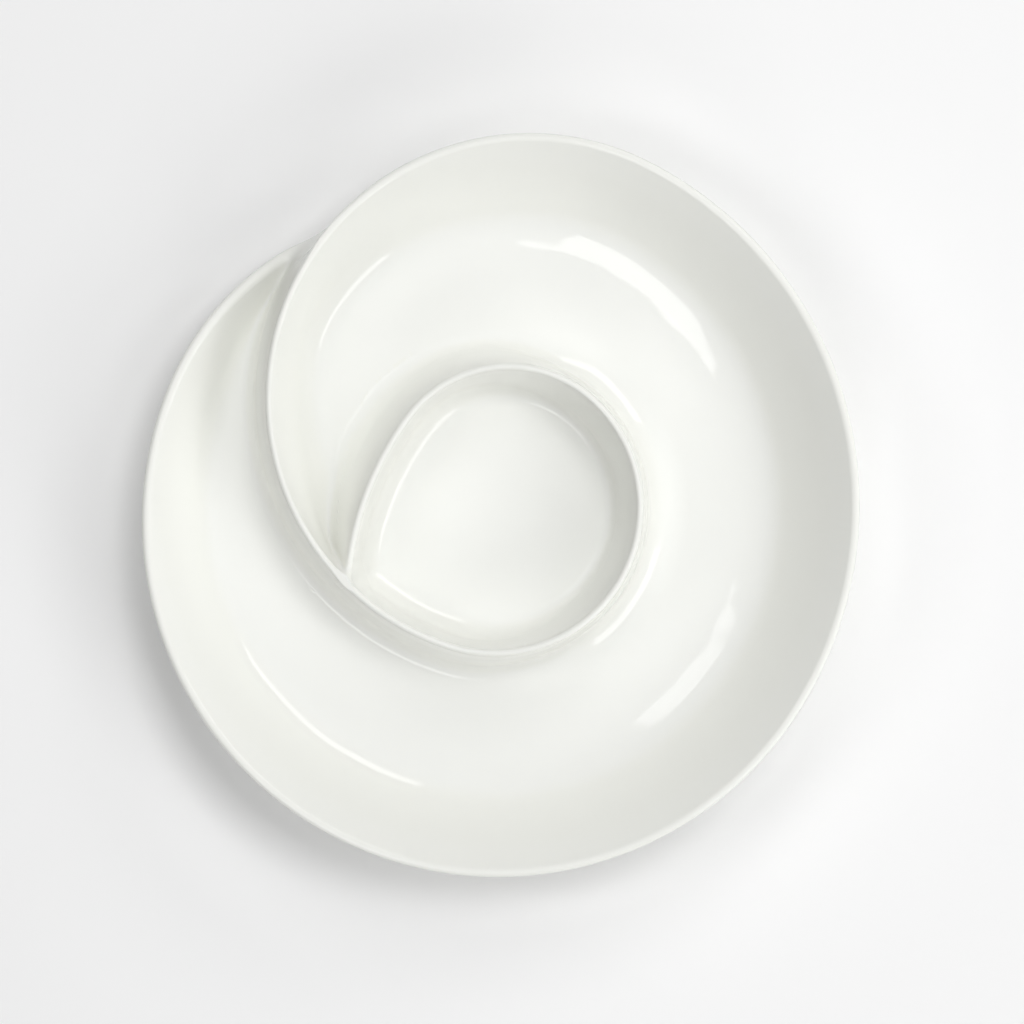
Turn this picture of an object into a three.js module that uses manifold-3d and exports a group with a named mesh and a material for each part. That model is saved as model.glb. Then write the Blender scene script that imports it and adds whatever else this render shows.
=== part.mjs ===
// Swirl serving platter in glazed porcelain.
// One rim winds through the whole plate: it starts as a low tail tucked under the shell on
// the upper left, runs once round the outside, turns in across the plate as a divider and
// closes on itself as a teardrop dip bowl. The walls stand on a flat slab with a foot ring.
// Millimetres, +Z up. The origin is on the table, under the middle of the plan.

import * as THREE from "three";
import Module from "manifold-3d";

const wasm = await Module();
wasm.setup();

const { degToRad, radToDeg, euclideanModulo, lerp, smoothstep } = THREE.MathUtils;

// Rim path in plan: tangent arcs, measured on the middle of the rim.
const LOWER_RADIUS = 157.2;
const RIGHT_RADIUS = 169.3;
const SHELL_RADIUS = 116.1;
const DIP_RADIUS = 65.1;
const BROW_RADIUS = 55.7;
const CLOSING_RADIUS = 140;

// Where one arc hands over to the next: the direction of the rim's outward normal there,
// in degrees anticlockwise from +X, counted on through the turns of the spiral.
const LOWER_START = 158;
const RIGHT_START = 326;
const SHELL_START = 423;
const DIP_START = 612;
const BROW_START = 767.5;
const CLOSING_START = 863.5;

// Where the tail comes out from under the shell, and how far it is tucked in, in degrees.
const TUCK_TURN = 498.5;
const TAIL_TUCK = 3;

// Levels above the table.
const FOOT_HEIGHT = 4;
const SLAB_THICKNESS = 5;
const TAIL_HEIGHT = 30;
const RIM_HEIGHT = 46;
const DIP_HEIGHT = 44;
const CLOSING_DROP = 3.5;

// Walls. Each side has a lean, in degrees from the vertical, and a fillet at its foot. The floor
// rises to the fillet as a dish, a wide arc that starts a reach beyond the foot that the fillet
// would have on a flat floor.
const RIM_THICKNESS = 4;
const WALL_BASE = 7;
const TOE_HEIGHT = 0.5;

// Inside of the winding: flared round the outside of the platter, steep in the dip bowl, and
// with a snug corner on the right of the bowl. The tail starts as a narrow valley by the shell.
const FLARE_LEAN = 46;
const FLARE_FILLET = 25;
const FLARE_DISH = 110;
const FLARE_REACH = 18.8;
const TAIL_LEAN = 30;
const TAIL_FILLET = 8;
const BOWL_LEAN = 9;
const BOWL_FILLET = 14;
const BOWL_DISH = 300;
const BOWL_REACH = 10;
const SNUG_LEAN = 16;
const SNUG_FILLET = 6;
const SNUG_REACH = 4;

// Outside of the winding, where it stands in the plate: a steep slope in the crescent, a plain
// ridge along the divider and a broad foot from there round the dip bowl.
const CRESCENT_LEAN = 14;
const CRESCENT_FILLET = 9;
const RIDGE_LEAN = 8;
const RIDGE_FILLET = 8;
const BROAD_LEAN = 3;
const BROAD_FILLET = 15;
const OUTSIDE_DISH = 60;
const CRESCENT_REACH = 2;
const RIDGE_REACH = 1;
const BROAD_REACH = 4;

// Turns over which the rim climbs from the tail, the inside opens from the tail to the flare,
// changes to steep and from there to the snug corner and back, and the outside changes from
// crescent to ridge to broad foot.
const CLIMB_START = 90;
const CLIMB_END = 262;
const TAIL_START = 122;
const TAIL_END = 192;
const UPRIGHT_START = 444;
const UPRIGHT_END = 562;
const SNUG_START = 615;
const SNUG_FULL = 680;
const SNUG_FADE = 780;
const SNUG_END = 850;
const CRESCENT_END = 505;
const RIDGE_START = 575;
const RIDGE_END = 600;
const BROAD_START = 670;

// Turn over which the divider's back spreads from the flared wall's overhang to its own slope.
const SPREAD_TURN = 8;

// Foot ring on the underside.
const FOOT_RADIUS = 108;
const FOOT_WIDTH = 7;
const FOOT_CHAMFER = 1;

// Clearance of the luted joints between neighbouring walls.
const LUTE_GAP = 0.3;

// Facets: degrees of turn per step along the walls, and steps round each curve of a section.
const WALL_STEP = 4;
const FLANK_STEPS = 7;
const RIM_STEPS = 4;
const FOOT_STEPS = 64;

const FLOOR = FOOT_HEIGHT + SLAB_THICKNESS;
const RIM_ROUND = RIM_THICKNESS / 2;

function direction(turn) {
  return new THREE.Vector2(Math.cos(degToRad(turn)), Math.sin(degToRad(turn)));
}

function pointOnArc(arc, turn) {
  return direction(turn).multiplyScalar(arc.radius).add(arc.centre);
}

// The arc that touches a given arc at one turn and runs on in the same direction.
function tangentArc(arc, turn, radius) {
  return { radius, centre: pointOnArc(arc, turn).addScaledVector(direction(turn), -radius) };
}

// The tail's arc leaves the lower arc smoothly and passes through the tuck point on the shell.
function tailArc(lower, shell) {
  const chord = pointOnArc(shell, TUCK_TURN).sub(pointOnArc(lower, LOWER_START));
  return tangentArc(lower, LOWER_START, -chord.lengthSq() / (2 * chord.dot(direction(LOWER_START))));
}

function tailStart(tail, shell) {
  return radToDeg(pointOnArc(shell, TUCK_TURN).sub(tail.centre).angle());
}

// The closing arc ends where it first crosses the middle of the shell's rim.
function closingEnd(closing, shell) {
  const across = shell.centre.clone().sub(closing.centre);
  const reach = across.lengthSq() + closing.radius ** 2 - shell.radius ** 2;
  const half = radToDeg(Math.acos(reach / (2 * across.length() * closing.radius)));
  const middle = radToDeg(across.angle());
  const crossings = [middle - half, middle + half];
  const ahead = crossings.map((turn) => euclideanModulo(turn - CLOSING_START, 360));
  return CLOSING_START + Math.min(...ahead);
}

function layOutRim() {
  const lower = { radius: LOWER_RADIUS, centre: new THREE.Vector2() };
  const right = tangentArc(lower, RIGHT_START, RIGHT_RADIUS);
  const shell = tangentArc(right, SHELL_START, SHELL_RADIUS);
  const dip = tangentArc(shell, DIP_START, DIP_RADIUS);
  const brow = tangentArc(dip, BROW_START, BROW_RADIUS);
  const closing = tangentArc(brow, CLOSING_START, CLOSING_RADIUS);
  const tail = tailArc(lower, shell);
  const arcs = [
    { ...tail, until: LOWER_START },
    { ...lower, until: RIGHT_START },
    { ...right, until: SHELL_START },
    { ...shell, until: DIP_START },
    { ...dip, until: BROW_START },
    { ...brow, until: CLOSING_START },
    { ...closing, until: Infinity },
  ];
  return { arcs, start: tailStart(tail, shell), end: closingEnd(closing, shell) };
}

const rim = layOutRim();

function arcAt(turn) {
  return rim.arcs.find((arc) => turn <= arc.until);
}

// A point level with the rim, some distance in from its middle.
function inFromRim(turn, distance) {
  return pointOnArc(arcAt(turn), turn).addScaledVector(direction(turn), -distance);
}

function rimHeight(turn) {
  const climbed = lerp(TAIL_HEIGHT, RIM_HEIGHT, smoothstep(turn, CLIMB_START, CLIMB_END));
  const lowered = lerp(climbed, DIP_HEIGHT, smoothstep(turn, TUCK_TURN, DIP_START));
  return lowered - CLOSING_DROP * smoothstep(turn, CLOSING_START, rim.end);
}

// Height of a wall's straight face above the floor, below the round of the rim.
function wallDrop(turn) {
  return rimHeight(turn) - RIM_ROUND - FLOOR;
}

// A side of a wall, and the side that is a share of the way from one to another.
function side(lean, fillet, dish, reach) {
  return { lean, fillet, dish, reach };
}

function blend(from, to, share) {
  return side(
    lerp(from.lean, to.lean, share),
    lerp(from.fillet, to.fillet, share),
    lerp(from.dish, to.dish, share),
    lerp(from.reach, to.reach, share),
  );
}

const flaredSide = side(FLARE_LEAN, FLARE_FILLET, FLARE_DISH, FLARE_REACH);
const tailSide = side(TAIL_LEAN, TAIL_FILLET, FLARE_DISH, 0);
const bowlSide = side(BOWL_LEAN, BOWL_FILLET, BOWL_DISH, BOWL_REACH);
const snugSide = side(SNUG_LEAN, SNUG_FILLET, BOWL_DISH, SNUG_REACH);
const crescentSide = side(CRESCENT_LEAN, CRESCENT_FILLET, OUTSIDE_DISH, CRESCENT_REACH);
const ridgeSide = side(RIDGE_LEAN, RIDGE_FILLET, OUTSIDE_DISH, RIDGE_REACH);
const broadSide = side(BROAD_LEAN, BROAD_FILLET, OUTSIDE_DISH, BROAD_REACH);

// How far the inside has changed from flared, 0, to steep, 1.
function upright(turn) {
  return smoothstep(turn, UPRIGHT_START, UPRIGHT_END);
}

function snug(turn) {
  return smoothstep(turn, SNUG_START, SNUG_FULL) * (1 - smoothstep(turn, SNUG_FADE, SNUG_END));
}

// The tail starts parallel to the shell's wall and opens into the full flare.
function innerSide(turn) {
  const opened = blend(tailSide, flaredSide, smoothstep(turn, TAIL_START, TAIL_END));
  return blend(blend(opened, bowlSide, upright(turn)), snugSide, snug(turn));
}

// Distance from the middle of the rim in to the foot of a flared wall's back.
function backFoot(turn) {
  return RIM_ROUND + wallDrop(turn) * Math.tan(degToRad(innerSide(turn).lean)) - WALL_BASE;
}

// Lean of a flared wall's back, which overhangs the table.
function overhang(turn) {
  return -radToDeg(Math.atan2(backFoot(turn) + RIM_ROUND, wallDrop(turn)));
}

function outerSide(turn) {
  const backSide = side(overhang(turn), TOE_HEIGHT, OUTSIDE_DISH, 0);
  const ridge = smoothstep(turn, CRESCENT_END, RIDGE_START);
  const broad = smoothstep(turn, RIDGE_END, BROAD_START);
  const slope = blend(blend(crescentSide, ridgeSide, ridge), broadSide, broad);
  return blend(backSide, slope, smoothstep(turn, TUCK_TURN, TUCK_TURN + SPREAD_TURN));
}

// The rounded top of a section, from the top of its outer face over to that of its inner face.
// In a section x is the distance in from the middle of the rim and y the height.
function rimRound(turn, outerLean, growth) {
  const radius = RIM_ROUND + growth;
  const points = [];
  for (let i = 0; i <= RIM_STEPS; i += 1) {
    const angle = degToRad(lerp(180 - outerLean, innerSide(turn).lean, i / RIM_STEPS));
    const height = rimHeight(turn) - RIM_ROUND + radius * Math.sin(angle);
    points.push(new THREE.Vector2(radius * Math.cos(angle), height));
  }
  return points;
}

// The arc of the floor's dish, and the fillet between a side's face and that arc.
function flankArcs(turn, { lean, fillet, dish, reach }) {
  const out = direction(lean);
  const down = new THREE.Vector2(out.y, -out.x);
  const foot = (RIM_ROUND + fillet + (wallDrop(turn) - fillet) * out.y) / out.x;
  const dishCentre = new THREE.Vector2(foot + reach, FLOOR + dish);
  const filletCentre = new THREE.Vector2(0, FLOOR + wallDrop(turn)).addScaledVector(out, RIM_ROUND + fillet);
  const away = filletCentre.clone().sub(dishCentre);
  const along = away.dot(down);
  const travel = Math.sqrt(along ** 2 - away.lengthSq() + (dish - fillet) ** 2) - along;
  return { dishCentre, filletCentre: filletCentre.addScaledVector(down, travel) };
}

// One flank of a section, from the foot of its face through the fillet and the dish to the toe
// on the floor. Growth moves it out.
function flank(turn, shape, growth) {
  const { dishCentre, filletCentre } = flankArcs(turn, shape);
  const across = dishCentre.clone().sub(filletCentre);
  const joinTilt = Math.atan2(across.x, across.y);
  const dishToe = Math.acos(1 - TOE_HEIGHT / shape.dish);
  const filletToe = Math.acos(Math.min((filletCentre.y - FLOOR - TOE_HEIGHT) / shape.fillet, 1));
  const toeTilt = dishToe < joinTilt ? dishToe : filletToe;
  const points = [];
  for (let i = 0; i <= FLANK_STEPS; i += 1) {
    const tilt = lerp(Math.PI / 2 - degToRad(shape.lean), toeTilt, i / FLANK_STEPS);
    const [centre, radius] = tilt < joinTilt ? [dishCentre, shape.dish] : [filletCentre, shape.fillet];
    const out = new THREE.Vector2(-Math.sin(tilt), -Math.cos(tilt));
    points.push(centre.clone().addScaledVector(out, radius - growth));
  }
  points.push(new THREE.Vector2(points[FLANK_STEPS].x + growth, FLOOR - growth));
  return points;
}

function innerFlank(turn, growth) {
  return flank(turn, innerSide(turn), growth);
}

function outerFlank(turn, growth) {
  const points = flank(turn, outerSide(turn), growth).reverse();
  return points.map(({ x, y }) => new THREE.Vector2(-x, y));
}

// Section of the flared outer wall. Growth moves its faces out, to cut a neighbour clear of it.
function flaredSection(turn, growth) {
  const foot = new THREE.Vector2(backFoot(turn) - growth, FLOOR - growth);
  return [...rimRound(turn, overhang(turn), growth), ...innerFlank(turn, growth), foot];
}

// Section of a wall that slopes to the floor on both sides.
function uprightSection(turn, growth) {
  const top = rimRound(turn, outerSide(turn).lean, growth);
  return [...top, ...innerFlank(turn, growth), ...outerFlank(turn, growth)];
}

function solidFrom(positions, triangles) {
  const vertProperties = new Float32Array(positions);
  const triVerts = new Uint32Array(triangles);
  return new wasm.Manifold(new wasm.Mesh({ numProp: 3, vertProperties, triVerts }));
}

// Lofts closed rings of equally many points and caps the first and the last ring.
function loft(rings, capTriangles) {
  const count = rings[0].length;
  const last = (rings.length - 1) * count;
  const positions = rings.flat().flatMap((point) => point.toArray());
  const triangles = [];
  for (let i = 0; i < last; i += count) {
    for (let j = 0; j < count; j += 1) {
      const next = (j + 1) % count;
      triangles.push(i + j, i + count + j, i + count + next);
      triangles.push(i + j, i + count + next, i + next);
    }
  }
  const [firstCap, lastCap] = capTriangles;
  firstCap.forEach(([a, b, c]) => triangles.push(a, b, c));
  lastCap.forEach(([a, b, c]) => triangles.push(last + a, last + c, last + b));
  return solidFrom(positions, triangles);
}

// Triangles that fill an outline and turn the same way as it does.
function triangulate(outline) {
  const triangles = THREE.ShapeUtils.triangulateShape(outline, []);
  const clockwise = THREE.ShapeUtils.isClockWise(outline);
  return clockwise ? triangles.map(([a, b, c]) => [a, c, b]) : triangles;
}

// A wall along the rim between two turns.
function wall(from, to, section, growth = 0) {
  const steps = Math.ceil((to - from) / WALL_STEP);
  const rings = [];
  for (let i = 0; i <= steps; i += 1) {
    const turn = lerp(from, to, i / steps);
    const ring = section(turn, growth).map(({ x, y }) => {
      const plan = inFromRim(turn, x);
      return new THREE.Vector3(plan.x, plan.y, y);
    });
    rings.push(ring);
  }
  return loft(rings, [triangulate(section(from, growth)), triangulate(section(to, growth))]);
}

// The largest body of a cut solid, without the offcuts.
function mainBody(solid) {
  return solid.decompose().reduce((best, body) => (body.volume() > best.volume() ? body : best));
}

// The degrees of turn that a joint's clearance takes up at one place on the rim.
function gapTurn(turn) {
  return radToDeg(LUTE_GAP / arcAt(turn).radius);
}

// The flared wall: the tail overlaps the end of the turn and grows out of its back.
function outerWall(growth = 0) {
  const tail = wall(rim.start - TAIL_TUCK, LOWER_START, flaredSection, growth);
  return tail.add(wall(LOWER_START, TUCK_TURN, flaredSection, growth));
}

function dividerWall(growth = 0) {
  const ridge = wall(TUCK_TURN + gapTurn(TUCK_TURN), DIP_START, uprightSection, growth);
  return mainBody(ridge.subtract(outerWall(LUTE_GAP - growth)));
}

// The dip bowl's wall runs round and closes against the inner side of the divider.
function dipBowlWall() {
  const start = DIP_START + gapTurn(DIP_START);
  return mainBody(wall(start, rim.end, uprightSection).subtract(dividerWall(LUTE_GAP)));
}

// The slab's edge carries on the slope of the flared wall's back, and runs from the tip of
// the tail round to the place on the shell where that tip comes out of its back.
function slabOutline(inset) {
  const from = rim.start - TAIL_TUCK;
  const to = TUCK_TURN - (TAIL_TUCK * arcAt(from).radius) / SHELL_RADIUS;
  const steps = Math.ceil((to - from) / WALL_STEP);
  const outline = [];
  for (let i = 0; i <= steps; i += 1) {
    const turn = lerp(from, to, i / steps);
    outline.push(inFromRim(turn, backFoot(turn) + inset));
  }
  return outline;
}

function atHeight(outline, height) {
  return outline.map(({ x, y }) => new THREE.Vector3(x, y, height));
}

function baseSlab() {
  const upper = slabOutline(0);
  const lower = slabOutline(SLAB_THICKNESS * Math.tan(degToRad(FLARE_LEAN)));
  const rings = [atHeight(upper, FLOOR), atHeight(lower, FOOT_HEIGHT)];
  return loft(rings, [triangulate(upper), triangulate(lower)]);
}

function footRing() {
  const inner = FOOT_RADIUS - FOOT_WIDTH / 2;
  const outer = FOOT_RADIUS + FOOT_WIDTH / 2;
  const profile = [
    new THREE.Vector2(inner + FOOT_CHAMFER, 0),
    new THREE.Vector2(outer - FOOT_CHAMFER, 0),
    new THREE.Vector2(outer, FOOT_CHAMFER),
    new THREE.Vector2(outer, FOOT_HEIGHT),
    new THREE.Vector2(inner, FOOT_HEIGHT),
    new THREE.Vector2(inner, FOOT_CHAMFER),
    new THREE.Vector2(inner + FOOT_CHAMFER, 0),
  ];
  const ring = new THREE.LatheGeometry(profile, FOOT_STEPS);
  return ring.rotateX(Math.PI / 2);
}

function geometryOf(solid) {
  const { vertProperties, triVerts } = solid.getMesh();
  const geometry = new THREE.BufferGeometry();
  geometry.setAttribute("position", new THREE.BufferAttribute(vertProperties, 3));
  geometry.setIndex(new THREE.BufferAttribute(triVerts, 1));
  geometry.computeVertexNormals();
  return geometry;
}

function glaze() {
  return new THREE.MeshStandardMaterial({ color: 0xf4f5f0, roughness: 0.1, metalness: 0 });
}

function bareClay() {
  return new THREE.MeshStandardMaterial({ color: 0xeae5da, roughness: 0.85, metalness: 0 });
}

function addPiece(group, name, geometry, material) {
  const mesh = new THREE.Mesh(geometry, material);
  mesh.name = name;
  group.add(mesh);
  return mesh;
}

const platter = new THREE.Group();
addPiece(platter, "base_slab", geometryOf(baseSlab()), glaze());
addPiece(platter, "outer_wall", geometryOf(outerWall()), glaze());
addPiece(platter, "divider_wall", geometryOf(dividerWall()), glaze());
addPiece(platter, "dip_bowl_wall", geometryOf(dipBowlWall()), glaze());

// The foot ring sits under the middle of the slab, and the plan's middle goes to the origin.
const slabMiddle = new THREE.Box2().setFromPoints(slabOutline(0)).getCenter(new THREE.Vector2());
const foot = addPiece(platter, "foot_ring", footRing(), bareClay());
foot.position.set(slabMiddle.x, slabMiddle.y, 0);
const planMiddle = new THREE.Box3().setFromObject(platter).getCenter(new THREE.Vector3());
platter.position.set(-planMiddle.x, -planMiddle.y, 0);

export default platter;
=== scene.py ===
"""A white porcelain swirl platter, dressed over its solid model.

One rim winds through the whole platter. It starts as a low tail tucked under the shell on the
upper left, runs once round the outside, turns in across the plate as a divider and closes on
itself as a teardrop dip bowl. The glaze runs over all of it without a seam, so the glazed body
is one skin that follows the rim, and the wiped foot ring under it is a piece of its own.
Metres, +Z up, in the frame of the solid model.
"""

import logging
import math
from dataclasses import astuple, dataclass, replace
from enum import Enum
from functools import cached_property, lru_cache
from typing import Any, Callable, Optional, Sequence, Union

import bpy
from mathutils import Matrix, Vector


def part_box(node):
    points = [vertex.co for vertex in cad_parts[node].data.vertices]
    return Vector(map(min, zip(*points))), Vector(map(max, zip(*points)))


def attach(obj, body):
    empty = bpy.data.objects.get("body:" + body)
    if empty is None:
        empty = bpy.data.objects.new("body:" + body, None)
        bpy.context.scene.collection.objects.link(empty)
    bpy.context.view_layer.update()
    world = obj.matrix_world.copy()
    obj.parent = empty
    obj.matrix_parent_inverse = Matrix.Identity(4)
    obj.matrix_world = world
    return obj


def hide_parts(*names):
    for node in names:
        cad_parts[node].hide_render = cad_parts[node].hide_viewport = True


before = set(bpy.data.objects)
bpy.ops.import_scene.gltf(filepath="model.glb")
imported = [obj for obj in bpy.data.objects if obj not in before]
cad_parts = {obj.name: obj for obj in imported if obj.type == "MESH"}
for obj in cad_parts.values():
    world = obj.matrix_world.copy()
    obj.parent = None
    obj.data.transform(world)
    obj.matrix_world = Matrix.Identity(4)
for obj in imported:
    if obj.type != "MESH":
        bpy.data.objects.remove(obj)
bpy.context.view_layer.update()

BODY = "root"
FULL_TURN = 360.0
GLAZE_DEPTH_AND_SHADE = "glaze_depth_and_shade"
TAIL_ROOT = "tail_root"
WELD_DISTANCE = 1e-6

# The slopes' value of how deep the glaze lies and of the painted shade, where 0 is on the crest and 1 on
# the level floor
SLOPE_GLAZE_AND_SHADE = 0.3

# Where a column of points passes from one stretch of the section to the next, as shares of the column
FACE_SHARE = 0.2
FILLET_SHARE = 0.7
FACE_PART = 0.6
BACK_FACE = 0.8
BOWL_FLANK = 0.85

log = logging.getLogger("platter")

RayPoint = tuple[float, float]
Column = list[RayPoint]
Colour = tuple[float, float, float, float]


def lerp(start: float, end: float, share: float) -> float:
    """Give the value a share of the way from start to end."""
    return start + (end - start) * share


def smoothstep(value: float, low: float, high: float) -> float:
    """Give the smooth share, 0 to 1, of the way that a value lies from low to high."""
    share = min(max((value - low) / (high - low), 0.0), 1.0)
    return share * share * (3.0 - 2.0 * share)


def soft_min(first: float, second: float, reach: float) -> float:
    """Give the smaller of two values, rounded off where they are within a reach of each other."""
    share = min(max(0.5 + 0.5 * (second - first) / reach, 0.0), 1.0)
    return lerp(second, first, share) - reach * share * (1.0 - share)


def direction(degrees: float) -> Vector:
    """Give the unit vector in plan at an angle from +X."""
    return Vector((math.cos(math.radians(degrees)), math.sin(math.radians(degrees))))


def bearing(point: Vector, near: float) -> float:
    """Give a plan vector's angle in degrees, on the winding closest to another angle."""
    angle = math.degrees(math.atan2(point.y, point.x))
    return angle + FULL_TURN * round((near - angle) / FULL_TURN)


def blend_column(start: Column, end: Column, share: float) -> Column:
    """Move each point of one column a share of the way to its mate in another."""
    return [(lerp(a[0], b[0], share), lerp(a[1], b[1], share)) for a, b in zip(start, end)]


@dataclass(frozen=True)
class Span:
    """The stretch of a measure over which something changes smoothly."""

    start: float
    end: float

    def share(self, value: float) -> float:
        """Give how far through the stretch a value lies, 0 to 1."""
        return smoothstep(value, self.start, self.end)


@dataclass(frozen=True)
class Arc:
    """One round stretch of the rim in plan, up to the turn where the next one takes over."""

    centre: Vector
    radius: float
    until: float

    def at(self, turn: float) -> Vector:
        """Give the point of the arc at a turn."""
        return self.centre + self.radius * direction(turn)

    def carry_on(self, radius: float, until: float) -> "Arc":
        """Give the arc that leaves this one smoothly where it ends."""
        return Arc(self.at(self.until) - radius * direction(self.until), radius, until)


@dataclass(frozen=True)
class Station:
    """A place on the rim, where a ray from the middle of the platter meets it.

    The reach is the distance along the ray to the middle of the rim, and the push is how far
    the wall stands out from there, to keep clear of a wall that it is about to join.
    """

    ray: Vector
    reach: float
    arc: Arc
    turn: float
    push: float = 0.0

    def along(self, depth: float) -> float:
        """Give the distance along the ray to a point some depth in from the rim."""
        lead = self.ray.dot(self.ray * self.reach - self.arc.centre)
        aside = self.arc.radius ** 2 - lead ** 2
        return self.reach + self.push - lead + math.sqrt((self.arc.radius - depth) ** 2 - aside)

    def depth(self, distance: float) -> float:
        """Give how far in from the rim a point on the ray lies."""
        return self.arc.radius - (self.ray * (distance - self.push) - self.arc.centre).length


@dataclass(frozen=True)
class Spiral:
    """The rim's path in plan, as tangent arcs on the middle of the rim.

    A turn is the direction of the rim's outward normal and a polar angle that of a ray from
    the middle of the platter, both in degrees from +X and counted on through the windings.
    """

    lower_radius: float = 0.1572
    right_radius: float = 0.1693
    shell_radius: float = 0.1161
    dip_radius: float = 0.0651
    brow_radius: float = 0.0557
    closing_radius: float = 0.1400
    lower_start: float = 158.0
    right_start: float = 326.0
    shell_start: float = 423.0
    dip_start: float = 612.0
    brow_start: float = 767.5
    closing_start: float = 863.5
    tuck_turn: float = 498.5
    rim_thickness: float = 0.004

    @cached_property
    def arcs(self) -> list[Arc]:
        """Lay the arcs out and bring them under the middle of the solid rim."""
        lower = Arc(Vector((0.0, 0.0)), self.lower_radius, self.right_start)
        right = lower.carry_on(self.right_radius, self.shell_start)
        shell = right.carry_on(self.shell_radius, self.dip_start)
        dip = shell.carry_on(self.dip_radius, self.brow_start)
        brow = dip.carry_on(self.brow_radius, self.closing_start)
        closing = brow.carry_on(self.closing_radius, math.inf)
        chord = shell.at(self.tuck_turn) - lower.at(self.lower_start)
        tail_radius = -chord.length_squared / (2.0 * chord.dot(direction(self.lower_start)))
        tail_centre = lower.at(self.lower_start) - tail_radius * direction(self.lower_start)
        tail = Arc(tail_centre, tail_radius, self.lower_start)
        chain = [tail, lower, right, shell, dip, brow, closing]
        shift = self.shift_to_frame(chain)
        return [replace(arc, centre=arc.centre + shift) for arc in chain]

    def shift_to_frame(self, chain: Sequence[Arc]) -> Vector:
        """Find the move that centres the outer winding on the solid outer wall.

        Args:
            chain: the arcs in the order in which the rim follows them.

        Returns:
            The move in plan.
        """
        outline = []
        for turn in range(round(self.lower_start), round(self.tuck_turn)):
            arc = next(arc for arc in chain if turn <= arc.until)
            outline.append(arc.at(turn) + 0.5 * self.rim_thickness * direction(turn))
        low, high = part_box("outer_wall")
        middle = Vector([0.5 * (min(p[i] for p in outline) + max(p[i] for p in outline)) for i in (0, 1)])
        return 0.5 * (Vector(low[:2]) + Vector(high[:2])) - middle

    @cached_property
    def hand_overs(self) -> list[float]:
        """Give the polar angle at which each arc ends."""
        return [bearing(arc.at(arc.until), arc.until) for arc in self.arcs[:-1]] + [math.inf]

    @lru_cache(maxsize=None)
    def station(self, polar: float) -> Station:
        """Find where the rim crosses a ray.

        Args:
            polar: the ray's angle, counted on through the windings.

        Returns:
            The place on the rim.
        """
        ray = direction(polar)
        arc = next(arc for arc, end in zip(self.arcs, self.hand_overs) if polar <= end)
        lead = ray.dot(arc.centre)
        reach = lead + math.sqrt(arc.radius ** 2 - arc.centre.length_squared + lead ** 2)
        return Station(ray, reach, arc, bearing(ray * reach - arc.centre, polar))


@dataclass(frozen=True)
class Profile:
    """The measures of one side of a wall: its lean from the vertical, its fillet and the floor's dish.

    The dish is the wide arc that the floor rises in towards the fillet, and its reach is how far
    it starts beyond the foot that the fillet would have on a flat floor. The shoulder is the
    radius of the round from the crest of the rim over to the face.
    """

    lean: float
    fillet: float
    dish_radius: float
    dish_reach: float
    shoulder: float

    def towards(self, other: "Profile", share: float) -> "Profile":
        """Give the profile a share of the way to another one."""
        return Profile(*(lerp(mine, its, share) for mine, its in zip(astuple(self), astuple(other))))


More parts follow.
